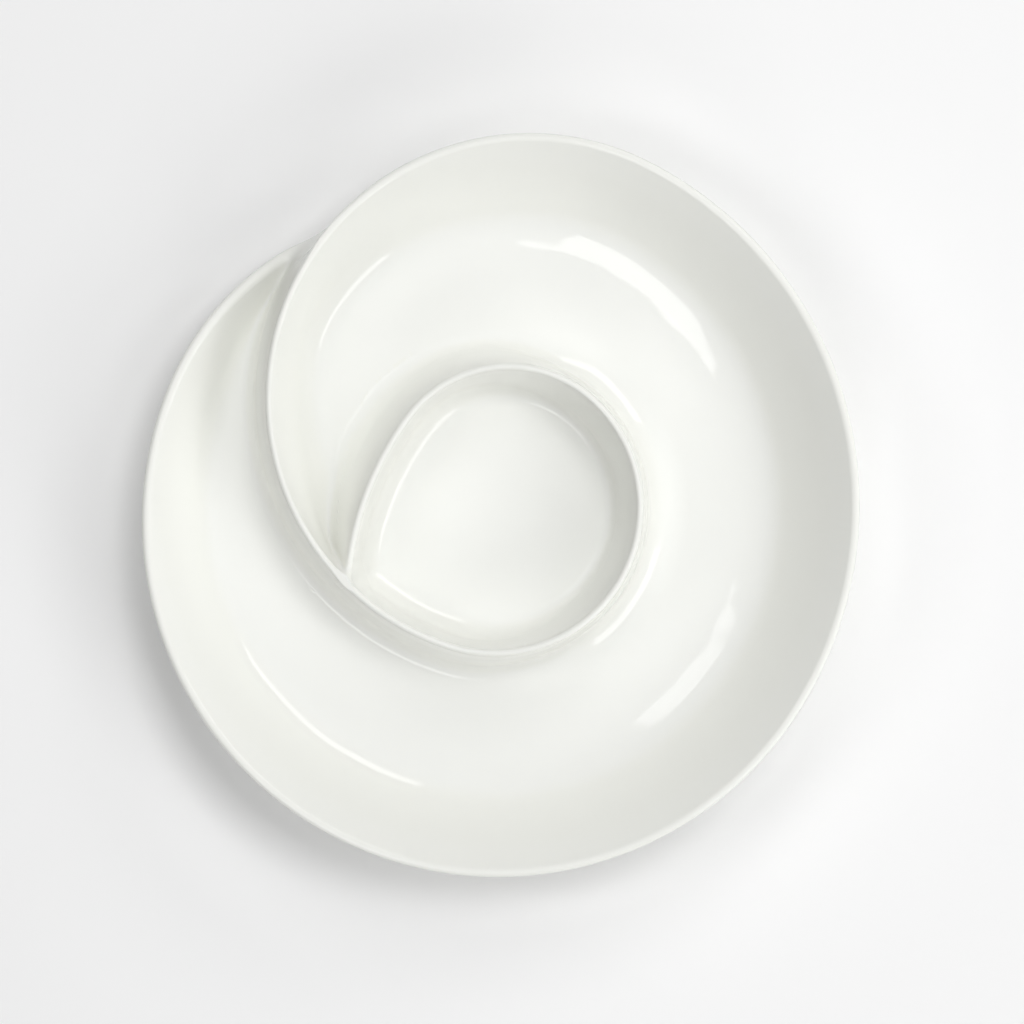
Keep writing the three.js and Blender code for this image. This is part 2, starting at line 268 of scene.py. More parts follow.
@dataclass(frozen=True)
class Flank:
    """One side of a wall in section, from the round of the rim down to the dished floor.

    Depths are measured from the middle of the rim and heights from the table. The straight
    face runs into a fillet, and the fillet into the wide, shallow arc of the floor's edge.
    """

    crest: float
    profile: Profile
    floor: float

    @property
    def lean(self) -> float:
        """Give the lean of the face in radians."""
        return math.radians(self.profile.lean)

    @property
    def rim_round(self) -> float:
        """Give the radius of the rim's round on this side."""
        return self.profile.shoulder

    @property
    def fillet(self) -> float:
        """Give the radius of the fillet."""
        return self.profile.fillet

    @property
    def dish_radius(self) -> float:
        """Give the radius of the floor's dish."""
        return self.profile.dish_radius

    @cached_property
    def dish_depth(self) -> float:
        """Give the depth at which the floor gets level."""
        drop = self.crest - self.rim_round - self.floor - self.fillet
        foot = (self.rim_round + self.fillet) / math.cos(self.lean) + drop * math.tan(self.lean)
        return foot + self.profile.dish_reach

    @cached_property
    def dish_centre(self) -> Vector:
        """Give the centre of the dish's arc."""
        return Vector((self.dish_depth, self.floor + self.dish_radius))

    @cached_property
    def fillet_centre(self) -> Vector:
        """Find the centre of the fillet, which touches the face and the dish."""
        outward = Vector((math.cos(self.lean), math.sin(self.lean)))
        down = Vector((math.sin(self.lean), -math.cos(self.lean)))
        start = Vector((0.0, self.crest - self.rim_round)) + (self.rim_round + self.fillet) * outward
        away = start - self.dish_centre
        along = away.dot(down)
        gap = self.dish_radius - self.fillet
        return start + down * (math.sqrt(max(along ** 2 - away.length_squared + gap ** 2, 0.0)) - along)

    @cached_property
    def face_start(self) -> float:
        """Give the depth at which the rim's round runs into the face."""
        return self.rim_round * math.cos(self.lean)

    @cached_property
    def face_end(self) -> float:
        """Give the depth at which the face runs into the fillet."""
        return self.fillet_centre.x - self.fillet * math.cos(self.lean)

    @cached_property
    def toe_tilt(self) -> float:
        """Give the slope at which the fillet runs into the dish."""
        away = self.dish_centre - self.fillet_centre
        return math.atan2(away.x, away.y)

    @cached_property
    def toe(self) -> float:
        """Give the depth at which the fillet runs into the dish."""
        return self.dish_depth - self.dish_radius * math.sin(self.toe_tilt)

    def height(self, depth: float) -> float:
        """Give the height of the flank above the floor at a depth."""
        if depth <= self.face_start:
            side = max(self.rim_round ** 2 - depth ** 2, 0.0)
            level = self.crest - self.rim_round + math.sqrt(side)
        elif depth <= self.face_end:
            rise = (self.rim_round - math.cos(self.lean) * depth) / math.sin(self.lean)
            level = self.crest - self.rim_round + rise
        elif depth <= self.toe:
            centre = self.fillet_centre
            level = centre.y - math.sqrt(max(self.fillet ** 2 - (centre.x - depth) ** 2, 0.0))
        elif depth <= self.dish_depth:
            side = self.dish_radius ** 2 - (self.dish_depth - depth) ** 2
            level = self.floor + self.dish_radius - math.sqrt(side)
        else:
            level = self.floor
        return level - self.floor

    def depth_at(self, share: float) -> float:
        """Give a depth by a share that spreads the points evenly over the curves.

        Args:
            share: 0 at the top of the face, 1 where the floor is level.

        Returns:
            The depth from the middle of the rim.
        """
        if share <= FACE_SHARE:
            return lerp(self.face_start, self.face_end, share / FACE_SHARE)
        if share <= FILLET_SHARE:
            part = (share - FACE_SHARE) / (FILLET_SHARE - FACE_SHARE)
            tilt = lerp(0.5 * math.pi - self.lean, self.toe_tilt, part)
            return self.fillet_centre.x - self.fillet * math.sin(tilt)
        return lerp(self.toe, self.dish_depth, (share - FILLET_SHARE) / (1.0 - FILLET_SHARE))


@dataclass(frozen=True)
class Back:
    """The outside of the flared wall in section: the overhanging face, the heel and the underside."""

    crest: float
    overhang: float
    heel: float
    rim_round: float
    underside: float

    @cached_property
    def heel_centre(self) -> Vector:
        """Find the centre of the heel's round, which touches the face and the underside."""
        level = self.underside + self.heel
        rise = math.sin(self.overhang) * (level - self.crest + self.rim_round)
        return Vector(((self.heel - self.rim_round - rise) / math.cos(self.overhang), level))

    def at(self, share: float) -> RayPoint:
        """Give a depth and a height on the face and the heel.

        Args:
            share: 0 at the top of the face, FACE_PART at its foot, 1 where the underside is level.

        Returns:
            The depth from the middle of the rim, and the height above the table.
        """
        side = Vector((math.cos(self.overhang), math.sin(self.overhang)))
        top = Vector((0.0, self.crest - self.rim_round)) - self.rim_round * side
        foot = self.heel_centre - self.heel * side
        if share <= FACE_PART:
            point = top.lerp(foot, share / FACE_PART)
        else:
            part = (share - FACE_PART) / (1.0 - FACE_PART)
            angle = lerp(self.overhang, 0.5 * math.pi, part)
            point = self.heel_centre - self.heel * Vector((math.cos(angle), math.sin(angle)))
        return point.x, point.y


@dataclass(frozen=True)
class WallShape:
    """How the wall's section changes along the rim, in metres and degrees.

    Inside its winding the wall is flared round the outside of the platter, turns upright where
    it comes in, leans back a little by the notch and stands snug on the right of the dip bowl.
    Outside its winding it is steep in the crescent, a plain ridge along the divider, has a broad
    foot on the right and is pinched where it closes. Each span is the turns over which it changes.
    """

    spiral: Spiral
    foot_height: float = 0.004
    slab_thickness: float = 0.005
    tail_height: float = 0.030
    tail_dip: float = 0.008
    rim_height: float = 0.046
    dip_height: float = 0.044
    closing_drop: float = 0.0035
    wall_base: float = 0.007
    heel: float = 0.008
    flared: Profile = Profile(45.3, 0.025, 0.110, 0.0188, 0.003)
    bowl: Profile = Profile(9.0, 0.014, 0.300, 0.010, 0.0015)
    eased: Profile = Profile(24.0, 0.018, 0.300, 0.010, 0.0015)
    snug: Profile = Profile(16.0, 0.006, 0.300, 0.004, 0.0015)
    tail: Profile = Profile(30.0, 0.008, 0.110, 0.0, 0.004)
    crescent: Profile = Profile(14.0, 0.009, 0.060, 0.002, 0.0015)
    ridge: Profile = Profile(13.0, 0.007, 0.060, 0.0, 0.0015)
    broad: Profile = Profile(7.0, 0.008, 0.022, 0.0090, 0.0015)
    closing: Profile = Profile(20.0, 0.009, 0.060, 0.0, 0.0015)
    pinched: Profile = Profile(24.0, 0.014, 0.060, 0.0, 0.0015)
    climb: Span = Span(90.0, 262.0)
    tail_rise: Span = Span(122.0, 152.0)
    to_flared: Span = Span(122.0, 192.0)
    to_bowl: Span = Span(444.0, 562.0)
    to_eased: Span = Span(508.0, 540.0)
    from_eased: Span = Span(552.0, 578.0)
    to_snug: Span = Span(615.0, 680.0)
    from_snug: Span = Span(780.0, 850.0)
    to_ridge: Span = Span(505.0, 575.0)
    to_broad: Span = Span(600.0, 670.0)
    to_closing: Span = Span(775.0, 840.0)
    to_pinched: Span = Span(845.0, 888.0)
    closing_end: float = 895.0

    @property
    def floor(self) -> float:
        """Give the height of the lowest part of the floor."""
        return self.foot_height + self.slab_thickness

    @property
    def rim_round(self) -> float:
        """Give the radius of the rim's round."""
        return 0.5 * self.spiral.rim_thickness

    def crest(self, turn: float) -> float:
        """Give the height of the rim, which climbs from the tail and dips round the bowl."""
        climbed = lerp(self.tail_height, self.rim_height, self.climb.share(turn))
        climbed -= self.tail_dip * (1.0 - self.tail_rise.share(turn))
        dipped = smoothstep(turn, self.spiral.tuck_turn, self.spiral.dip_start)
        closed = smoothstep(turn, self.spiral.closing_start, self.closing_end)
        return lerp(climbed, self.dip_height, dipped) - self.closing_drop * closed

    def inner_profile(self, turn: float) -> Profile:
        """Give the measures of the inside of the winding."""
        eased = self.to_eased.share(turn) * (1.0 - self.from_eased.share(turn))
        snug = self.to_snug.share(turn) * (1.0 - self.from_snug.share(turn))
        profile = self.tail.towards(self.flared, self.to_flared.share(turn))
        profile = profile.towards(self.bowl, self.to_bowl.share(turn))
        return profile.towards(self.eased, eased).towards(self.snug, snug)

    def outer_profile(self, turn: float) -> Profile:
        """Give the measures of the outside of the winding, where it stands in the plate."""
        profile = self.crescent.towards(self.ridge, self.to_ridge.share(turn))
        profile = profile.towards(self.broad, self.to_broad.share(turn))
        profile = profile.towards(self.closing, self.to_closing.share(turn))
        return profile.towards(self.pinched, self.to_pinched.share(turn))

    @lru_cache(maxsize=None)
    def inner(self, turn: float) -> Flank:
        """Give the flank on the inside of the winding."""
        return Flank(self.crest(turn), self.inner_profile(turn), self.floor)

    @lru_cache(maxsize=None)
    def outer(self, turn: float) -> Flank:
        """Give the flank on the outside of the winding, where it stands in the plate."""
        return Flank(self.crest(turn), self.outer_profile(turn), self.floor)

    @lru_cache(maxsize=None)
    def back(self, turn: float) -> Back:
        """Give the outside of the winding, where it overhangs the table."""
        drop = self.crest(turn) - self.rim_round - self.floor
        lean = math.radians(self.inner_profile(turn).lean)
        foot = self.rim_round + drop * math.tan(lean) - self.wall_base
        return Back(
            crest=self.crest(turn),
            overhang=math.atan2(foot + self.rim_round, drop),
            heel=self.heel,
            rim_round=self.rim_round,
            underside=self.foot_height,
        )


class Part(Enum):
    """The stretches of the skin, each a ribbon along the rim."""

    RIM = "rim"
    CHANNEL = "channel"
    BOWL = "bowl"
    BACK = "back"


@dataclass(frozen=True)
class GlazedBody:
    """The glazed skin of the platter, in ribbons that follow the rim and are welded together.

    Each ribbon is a row of columns, one for each ray, and each column runs across the skin in
    the ray's own plane. Where the tail grows out of the shell's back the columns close up to a
    single point. Where the closing wall runs into the divider, at the notch, the ribbons of the
    channel and of the closing rim carry on as the top of the bowl's ribbon. Angles are polar
    angles in degrees, and a sharpness is the power by which the heights of two walls are joined.
    """

    walls: WallShape
    rays_per_turn: int = 480
    rim_steps: int = 12
    flank_steps: int = 14
    floor_steps: int = 5
    ridge_steps: int = 12
    bowl_steps: int = 20
    back_steps: int = 16
    tail_tip: float = 110.25
    tail_span: float = 22.5
    tail_drop: float = 0.021
    notch: float = 561.75
    merge_start: float = 564.0
    merge_end: float = 579.0
    seam_width: float = 0.0006
    seam_end: float = 640.0
    corner_round: float = 0.022
    clearance: float = 0.0045
    clearance_ease: float = 0.001
    meeting_sharpness: float = 6.0
    valley_sharpness: float = 2.5
    notch_sharpness: float = 4.0
    corner_sharpness: float = 2.0
    corner_depth: float = 0.2
    meeting_room: float = 0.92
    spread_turn: float = 60.0
    valley_opening: Span = Span(30.0, 84.0)
    root_turn: float = 7.0
    root_rounds: int = 14
    root_foot: Span = Span(0.006, 0.014)
    root_top: Span = Span(0.036, 0.043)
    levelling: Span = Span(0.75, 1.0)

    @property
    def step(self) -> float:
        """Give the angle between two rays, in degrees."""
        return FULL_TURN / self.rays_per_turn

    def growth(self, polar: float) -> float:
        """Give how far the tail has grown out of the shell, 0 at its tip."""
        share = min(max((polar - self.tail_tip) / self.tail_span, 0.0), 1.0)
        return share * (2.0 - share)

    def standing(self, polar: float) -> float:
        """Give how far the closing wall still stands out of the divider, 0 where it has merged."""
        return 1.0 - smoothstep(polar, self.merge_start, self.merge_end)

    @lru_cache(maxsize=None)
    def at(self, polar: float) -> Station:
        """Give a place on the rim; the tail is moved clear of the shell that it grows out of."""
        spiral = self.walls.spiral
        here = spiral.station(polar)
        if polar < self.tail_tip + self.spread_turn:
            return replace(here, push=self.crowding(here.reach - spiral.station(polar + FULL_TURN).reach))
        return here

    def crowding(self, width: float) -> float:
        """Give how much room two windings lack, eased to nothing where they are well apart."""
        lack = self.clearance - width
        return 0.5 * (lack + math.hypot(lack, self.clearance_ease))

    def rise(self, polar: float, distance: float) -> float:
        """Give how high the wall of one winding stands above the floor at a distance along a ray."""
        station = self.at(polar)
        depth = station.depth(distance)
        side = self.walls.inner if depth > 0.0 else self.walls.outer
        return side(station.turn).height(abs(depth))

    def sharpness(self, polar: float) -> float:
        """Give how sharply neighbouring walls meet: softly in the valley by the tail and at the notch."""
        opened = self.valley_opening.share(polar - self.tail_tip)
        closed = smoothstep(polar, self.notch - self.spread_turn, self.notch)
        sharpness = lerp(self.valley_sharpness, self.meeting_sharpness, opened)
        return lerp(sharpness, self.notch_sharpness, closed)

    def meet(self, power: float, crest: float, *rises: float) -> float:
        """Join walls as slopes that meet in a rounded valley.

        Args:
            power: how sharply they meet.
            crest: the height that the joined walls keep under.
            rises: how high each wall stands above the floor.

        Returns:
            The height above the table.
        """
        joined = sum(max(rise, 0.0) ** power for rise in rises) ** (1.0 / power)
        return min(self.walls.floor + joined, crest)

    def level(self, polar: float, distance: float, own: float, share: float = 0.0) -> float:
        """Raise a point of a wall where the walls of the windings beside it reach up to it.

        Args:
            polar: the ray's angle on the point's own winding.
            distance: the point's distance along the ray.
            own: how high the point's own wall stands above the floor.
            share: how far down the bowl the point lies, where the walls meet in a wide corner.

        Returns:
            The point's height above the table in the finished skin.
        """
        rises = [own]
        facing = polar
        crest = self.walls.crest(self.at(polar).turn)
        if polar < self.merge_end:
            rises.append(self.standing(polar) * self.rise(polar + FULL_TURN, distance))
            crest = max(crest, self.walls.crest(self.at(polar + FULL_TURN).turn))
        if polar > self.tail_tip + FULL_TURN:
            past = polar - FULL_TURN
            rises.append(self.growth(past) * self.rise(past, distance))
            crest = max(crest, self.growth(past) * self.walls.crest(self.at(past).turn))
            if polar > self.merge_end or distance > self.at(polar).reach:
                facing = past
        corner = smoothstep(share, 0.0, self.corner_depth)
        return self.meet(lerp(self.sharpness(facing), self.corner_sharpness, corner), crest, *rises)

    def outer_tilt(self, polar: float) -> float:
        """Give the angle round the rim at which the outer face starts, in radians."""
        turn = self.at(polar).turn
        growth = self.growth(polar - FULL_TURN)
        return math.pi + lerp(self.walls.back(turn).overhang, -self.walls.outer(turn).lean, growth)

    def tail_root(self, polar: float) -> RayPoint:
        """Give the point on the shell's back that the tail grows out of, on the tail's ray."""
        return self.back_point(polar + FULL_TURN, self.tail_share)

    @cached_property
    def tail_share(self) -> float:
        """Give the place of the tail's tip on the shell's back."""
        back = self.walls.back(self.at(self.tail_tip + FULL_TURN).turn)
        return FACE_PART * BACK_FACE * self.tail_drop / (back.at(0.0)[1] - back.at(FACE_PART)[1])

    def back_point(self, polar: float, share: float) -> RayPoint:
        """Give a point on the outside of the wall and the underside.

        Args:
            polar: the ray's angle.
            share: 0 at the rim, BACK_FACE where the underside is level, 1 in its middle.

        Returns:
            The distance along the ray, and the height above the table.
        """
        station = self.at(polar)
        depth, height = self.walls.back(station.turn).at(min(share / BACK_FACE, 1.0))
        distance = station.along(depth)
        if share > BACK_FACE:
            distance *= (1.0 - share) / (1.0 - BACK_FACE)
        return distance, height

    @lru_cache(maxsize=None)
    def rim_column(self, polar: float) -> Column:
        """Give the round of the rim, from the outer face over to the inner face."""
        station = self.at(polar)
        inner, outer = self.walls.inner(station.turn), self.walls.outer(station.turn)
        crest = inner.crest - self.walls.floor
        outer_round = lerp(self.walls.rim_round, outer.rim_round, self.growth(polar - FULL_TURN))
        column = []
        for i in range(self.rim_steps + 1):
            tilt = lerp(self.outer_tilt(polar), inner.lean, i / self.rim_steps)
            radius = outer_round if math.cos(tilt) < 0.0 else inner.rim_round
            distance = station.along(radius * math.cos(tilt))
            column.append((distance, self.level(polar, distance, crest - radius * (1.0 - math.sin(tilt)))))
        if polar < self.tail_tip + self.tail_span:
            root = [self.tail_root(polar)] * len(column)
            column = blend_column(root, column, self.growth(polar))
        return column

    @lru_cache(maxsize=None)
    def channel_column(self, polar: float) -> Column:
        """Give the channel from the inner face of one winding to the back of the next."""
        outer, inner = self.at(polar), self.at(polar + FULL_TURN)
        near, far = self.walls.inner(outer.turn), self.walls.outer(inner.turn)
        near_shares = [i / self.flank_steps for i in range(self.flank_steps + 1)]
        far_shares = [1.0 - i / self.ridge_steps for i in range(self.ridge_steps + 1)]
        near_run = [outer.along(near.depth_at(share)) for share in near_shares]
        far_run = [inner.along(-far.depth_at(share)) for share in far_shares]
        wanted = near_run[0] - near_run[-1] + far_run[0] - far_run[-1]
        room = self.meeting_room * (near_run[0] - far_run[-1])
        squeeze = min(1.0, room / wanted)
        near_run = [lerp(near_run[0], distance, squeeze) for distance in near_run]
        far_run = [lerp(far_run[-1], distance, squeeze) for distance in far_run]
        floor_shares = [i / self.floor_steps for i in range(1, self.floor_steps)]
        floor_run = [lerp(near_run[-1], far_run[0], share) for share in floor_shares]
        crest = max(near.crest, far.crest)
        column = []
        for distance in near_run + floor_run + far_run:
            rises = near.height(outer.depth(distance)), far.height(-inner.depth(distance))
            column.append((distance, self.meet(self.sharpness(polar), crest, *rises)))
        rim_in = self.rim_column(polar)[-1]
        rim_out = self.rim_column(polar + FULL_TURN)[0]
        if polar < self.tail_tip + self.tail_span:
            closed = [self.tail_root(polar)] * (self.flank_steps + self.floor_steps)
            for i in range(self.ridge_steps + 1):
                share = self.tail_share * (self.ridge_steps - i) / self.ridge_steps
                closed.append(self.back_point(polar + FULL_TURN, share))
            column = blend_column(closed, column, self.growth(polar))
        return [rim_in] + column[1:-1] + [rim_out]

    @cached_property
    def seam(self) -> list[float]:
        """Give the shares at which the notch's channel and closing rim lie across the top of the bowl."""
        column = self.channel_column(self.notch) + self.rim_column(self.notch + FULL_TURN)[1:]
        start, end = column[0][0], column[-1][0]
        return [(start - distance) / (start - end) for distance, _ in column]

    def bowl_column(self, polar: float) -> Column:
        """Give the inside of the dip bowl, from the rim to the middle of its floor."""
        column = self.seam_column(polar)
        for i in range(1, self.bowl_steps):
            share = i / self.bowl_steps
            distance = self.bowl_distance(polar, share)
            if polar < self.merge_end:
                after = self.bowl_distance(polar + FULL_TURN, share)
                distance = soft_min(distance, after, self.corner_round)
            if polar > self.notch + FULL_TURN - self.spread_turn:
                before = self.bowl_distance(polar - FULL_TURN, share)
                distance = soft_min(distance, before, self.corner_round)
            column.append((distance, self.level(polar, distance, self.rise(polar, distance), share)))
        return column + [(0.0, self.walls.floor)]

    def bowl_distance(self, polar: float, share: float) -> float:
        """Give the distance along a ray to a share of the way in from a winding's inner face.

        Args:
            polar: the ray's angle on that winding.
            share: 0 at the rim, BOWL_FLANK where the floor is level, 1 in its middle.

        Returns:
            The distance from the middle of the platter.
        """
        station = self.at(polar)
        flank = self.walls.inner(station.turn)
        distance = station.along(flank.depth_at(min(share / BOWL_FLANK, 1.0)))
        return distance * min((1.0 - share) / (1.0 - BOWL_FLANK), 1.0)

    def seam_column(self, polar: float) -> Column:
        """Give the top of the bowl's column, where the notch's ribbons carry on and run out."""
        rim_in = self.rim_column(polar)[-1]
        width = self.seam_width * (1.0 - smoothstep(polar, self.notch, self.seam_end))
        end = rim_in[0] - width
        if polar < self.merge_end:
            closing = self.at(polar + FULL_TURN)
            edge = closing.along(self.walls.inner(closing.turn).face_start)
            end = soft_min(end, edge, self.walls.spiral.rim_thickness)
        column = [rim_in]
        for share in self.seam[1:]:
            distance = lerp(rim_in[0], end, share)
            height = rim_in[1]
            if width > 0.0:
                height = self.level(polar, distance, self.rise(polar, distance))
            column.append((distance, height))
        return column

    def back_column(self, polar: float) -> Column:
        """Give the outside of the wall, from the rim to the middle of the underside."""
        edge = self.tail_share * min((polar - self.tail_tip) / self.spread_turn, 1.0)
        shares = [edge * i / self.ridge_steps for i in range(self.ridge_steps)]
        shares += [lerp(edge, 1.0, i / self.back_steps) for i in range(self.back_steps + 1)]
        column = [self.back_point(polar, share) for share in shares]
        if polar < self.tail_tip + self.tail_span:
            shell = polar + FULL_TURN
            closed = [self.tail_root(polar)] * self.ridge_steps
            for i in range(self.back_steps + 1):
                closed.append(self.back_point(shell, lerp(self.tail_share, 1.0, i / self.back_steps)))
            column = blend_column(closed, column, self.growth(polar))
        return [self.rim_column(polar)[0]] + column[1:]

    def stretch(self, part: Part) -> tuple[Callable[[float], Column], float, float]:
        """Give what makes a ribbon's columns, and the polar angles where it starts and ends."""
        return {
            Part.RIM: (self.rim_column, self.tail_tip, self.notch + FULL_TURN),
            Part.CHANNEL: (self.channel_column, self.tail_tip, self.notch),
            Part.BOWL: (self.bowl_column, self.notch, self.notch + FULL_TURN),
            Part.BACK: (self.back_column, self.tail_tip, self.tail_tip + FULL_TURN),
        }[part]

    def ribbon(self, part: Part) -> bpy.types.Object:
        """Make one ribbon of the skin from a grid.

        Args:
            part: the stretch of the skin.

        Returns:
            The ribbon as an open mesh.
        """
        make_column, start, end = self.stretch(part)
        polars = [start + i * self.step for i in range(round((end - start) / self.step) + 1)]
        columns = [make_column(polar) for polar in polars]
        bpy.ops.object.select_all(action="DESELECT")
        bpy.ops.mesh.primitive_grid_add(x_subdivisions=len(columns[0]) - 1, y_subdivisions=len(columns) - 1)
        ribbon = bpy.context.object
        places = []
        for polar, column in zip(polars, columns):
            ray = direction(polar)
            for distance, height in column:
                places += [ray.x * distance, ray.y * distance, height]
        ribbon.data.vertices.foreach_set("co", places)
        ribbon.data.update()
        depths = [depth for column in columns for depth in self.glaze_depth_and_shade(part, column)]
        ribbon.data.attributes.new(GLAZE_DEPTH_AND_SHADE, "FLOAT", "POINT").data.foreach_set("value", depths)
        root = ribbon.vertex_groups.new(name=TAIL_ROOT)
        for i, polar in enumerate(polars):
            for j, point in enumerate(columns[i]):
                root.add([i * len(columns[i]) + j], self.root_share(part, polar, point[1]), "REPLACE")
        return ribbon

    def root_share(self, part: Part, polar: float, height: float) -> float:
        """Give how much a point belongs to the root of the tail, which is smoothed into the shell's back.

        Args:
            part: the stretch of the skin that the point lies on.
            polar: the ray's angle.
            height: the point's height above the table.

        Returns:
            1 in the middle of the root, 0 beyond it.
        """
        end = self.tail_tip + self.tail_span
        near = 1.0 - smoothstep(polar, end - self.root_turn, end + self.root_turn)
        far = 0.0
        if part is Part.BACK:
            far = smoothstep(polar, self.tail_tip + FULL_TURN - self.root_turn, self.tail_tip + FULL_TURN)
        return max(near, far) * self.root_foot.share(height) * (1.0 - self.root_top.share(height))

    def glaze_depth_and_shade(self, part: Part, column: Column) -> list[float]:
        """Give how level the skin lies along a column, which sets the glaze's swell on the level floor and
        the painted shade colour of the slopes.

        Args:
            part: the stretch of the skin.
            column: the points of the column.

        Returns:
            The depth at each point, 0 on the crest and 1 where the skin is level.
        """
        if part is Part.RIM:
            return [0.0] * len(column)
        depths = []
        for before, after in zip([column[0]] + column[:-1], column[1:] + [column[-1]]):
            run, rise = abs(after[0] - before[0]), abs(after[1] - before[1])
            length = math.hypot(run, rise)
            flatness = run / length if length > 0.0 else 0.0
            depths.append(lerp(SLOPE_GLAZE_AND_SHADE, 1.0, self.levelling.share(flatness)))
        return depths

    def build(self) -> bpy.types.Object:
        """Weld the ribbons into one closed skin.

        Returns:
            The glazed body.
        """
        ribbons = [self.ribbon(part) for part in Part]
        bpy.ops.object.select_all(action="DESELECT")
        for ribbon in ribbons:
            ribbon.select_set(True)
        bpy.context.view_layer.objects.active = ribbons[0]
        bpy.ops.object.join()
        bpy.ops.object.mode_set(mode="EDIT")
        bpy.ops.mesh.select_all(action="SELECT")
        bpy.ops.mesh.remove_doubles(threshold=WELD_DISTANCE)
        bpy.ops.mesh.select_all(action="SELECT")
        bpy.ops.mesh.normals_make_consistent(inside=False)
        bpy.ops.object.mode_set(mode="OBJECT")
        bpy.ops.object.shade_smooth()
        body = bpy.context.object
        body.name = "glazed_body"
        smooth = body.modifiers.new("root", "SMOOTH")
        smooth.vertex_group = TAIL_ROOT
        smooth.iterations = self.root_rounds
        bpy.ops.object.modifier_apply(modifier=smooth.name)
        body.vertex_groups.clear()
        return body

    def dress(self, body: bpy.types.Object, glaze: bpy.types.Material) -> None:
        """Glaze the body and let it stand for the solid walls and slab."""
        body.data.materials.append(glaze)
        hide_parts("base_slab", "outer_wall", "divider_wall", "dip_bowl_wall")
        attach(body, BODY)


@dataclass(frozen=True)
class FootRing:
    """The wiped ring that the platter stands on."""

    radius: float = 0.108
    width: float = 0.007
    height: float = 0.004
    sunk: float = 0.0004
    spread: float = 1.4
    edge_round: float = 0.0014
    edge_steps: int = 5
    crease: float = 40.0
    sides: int = 240

    def build(self) -> bpy.types.Object:
        """Turn the ring's section round the middle of the solid ring.

        Returns:
            The foot ring.
        """
        low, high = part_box("foot_ring")
        middle = Vector((0.5 * (low[0] + high[0]), 0.5 * (low[1] + high[1]), 0.0))
        tall = self.height + self.sunk
        across = middle.x + self.radius
        bpy.ops.object.select_all(action="DESELECT")
        bpy.ops.mesh.primitive_plane_add(size=1.0)
        ring = bpy.context.object
        ring.name = "foot_ring_wiped"
        bpy.ops.object.mode_set(mode="EDIT")
        bpy.ops.mesh.delete(type="ONLY_FACE")
        bpy.ops.mesh.select_all(action="SELECT")
        bpy.ops.transform.resize(value=(self.width, tall, 1.0), center_override=(0.0, 0.0, 0.0))
        bpy.ops.transform.rotate(value=-0.5 * math.pi, orient_axis="X", center_override=(0.0, 0.0, 0.0))
        bpy.ops.transform.translate(value=(across, middle.y, 0.5 * tall))
        self.pick(ring, lambda height: height > 0.5 * tall)
        bpy.ops.transform.resize(value=(self.spread, 1.0, 1.0), center_override=(across, 0.0, 0.0))
        self.pick(ring, lambda height: height < 0.5 * tall)
        bpy.ops.mesh.bevel(offset=self.edge_round, segments=self.edge_steps, affect="VERTICES")
        bpy.ops.mesh.select_all(action="SELECT")
        turn = math.radians(FULL_TURN)
        bpy.ops.mesh.spin(steps=self.sides, angle=turn, center=middle, axis=(0.0, 0.0, 1.0))
        bpy.ops.mesh.select_all(action="SELECT")
        bpy.ops.mesh.remove_doubles(threshold=WELD_DISTANCE)
        bpy.ops.mesh.normals_make_consistent(inside=False)
        bpy.ops.object.mode_set(mode="OBJECT")
        bpy.ops.object.shade_smooth_by_angle(angle=math.radians(self.crease))
        return ring

    @staticmethod
    def pick(ring: bpy.types.Object, wanted: Callable[[float], bool]) -> None:
        """Select the ring's points whose height is wanted, and nothing else."""
        bpy.ops.mesh.select_mode(type="VERT")
        bpy.ops.mesh.select_all(action="DESELECT")
        bpy.ops.object.mode_set(mode="OBJECT")
        for point in ring.data.vertices:
            point.select = wanted(point.co.z)
        bpy.ops.object.mode_set(mode="EDIT")

    def dress(self, ring: bpy.types.Object, clay: bpy.types.Material) -> None:
        """Give the ring its wiped finish and let it stand for the solid ring."""
        ring.data.materials.append(clay)
        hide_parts("foot_ring")
        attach(ring, BODY)


Value = Union["Shade", float]
Input = Union["Shade", float, Sequence[float]]


class Shade:
    """The value of a node's output, which takes part in Python arithmetic."""

    def __init__(self, tree: "ShadeTree", socket: bpy.types.NodeSocket) -> None:
        """Keep the tree that the value belongs to and the socket that gives it."""
        self.tree = tree
        self.socket = socket

    def __add__(self, other: Value) -> "Shade":
        """Add a value."""
        return self.tree.math("ADD", self, other)

    def __radd__(self, other: float) -> "Shade":
        """Add to a number."""
        return self.tree.math("ADD", other, self)

    def __sub__(self, other: Value) -> "Shade":
        """Take a value off."""
        return self.tree.math("SUBTRACT", self, other)

    def __rsub__(self, other: float) -> "Shade":
        """Take off a number."""
        return self.tree.math("SUBTRACT", other, self)

    def __mul__(self, other: Value) -> "Shade":
        """Multiply by a value."""
        return self.tree.math("MULTIPLY", self, other)

    def __rmul__(self, other: float) -> "Shade":
        """Multiply a number."""
        return self.tree.math("MULTIPLY", other, self)

    def __truediv__(self, other: Value) -> "Shade":
        """Divide by a value."""
        return self.tree.math("DIVIDE", self, other)

    def __rtruediv__(self, other: float) -> "Shade":
        """Divide a number."""
        return self.tree.math("DIVIDE", other, self)


@dataclass(frozen=True)
class Noise:
    """Soft noise over an object: its features to the metre, its octaves and how rough they are."""

    scale: float
    detail: float = 2.0
    roughness: float = 0.5


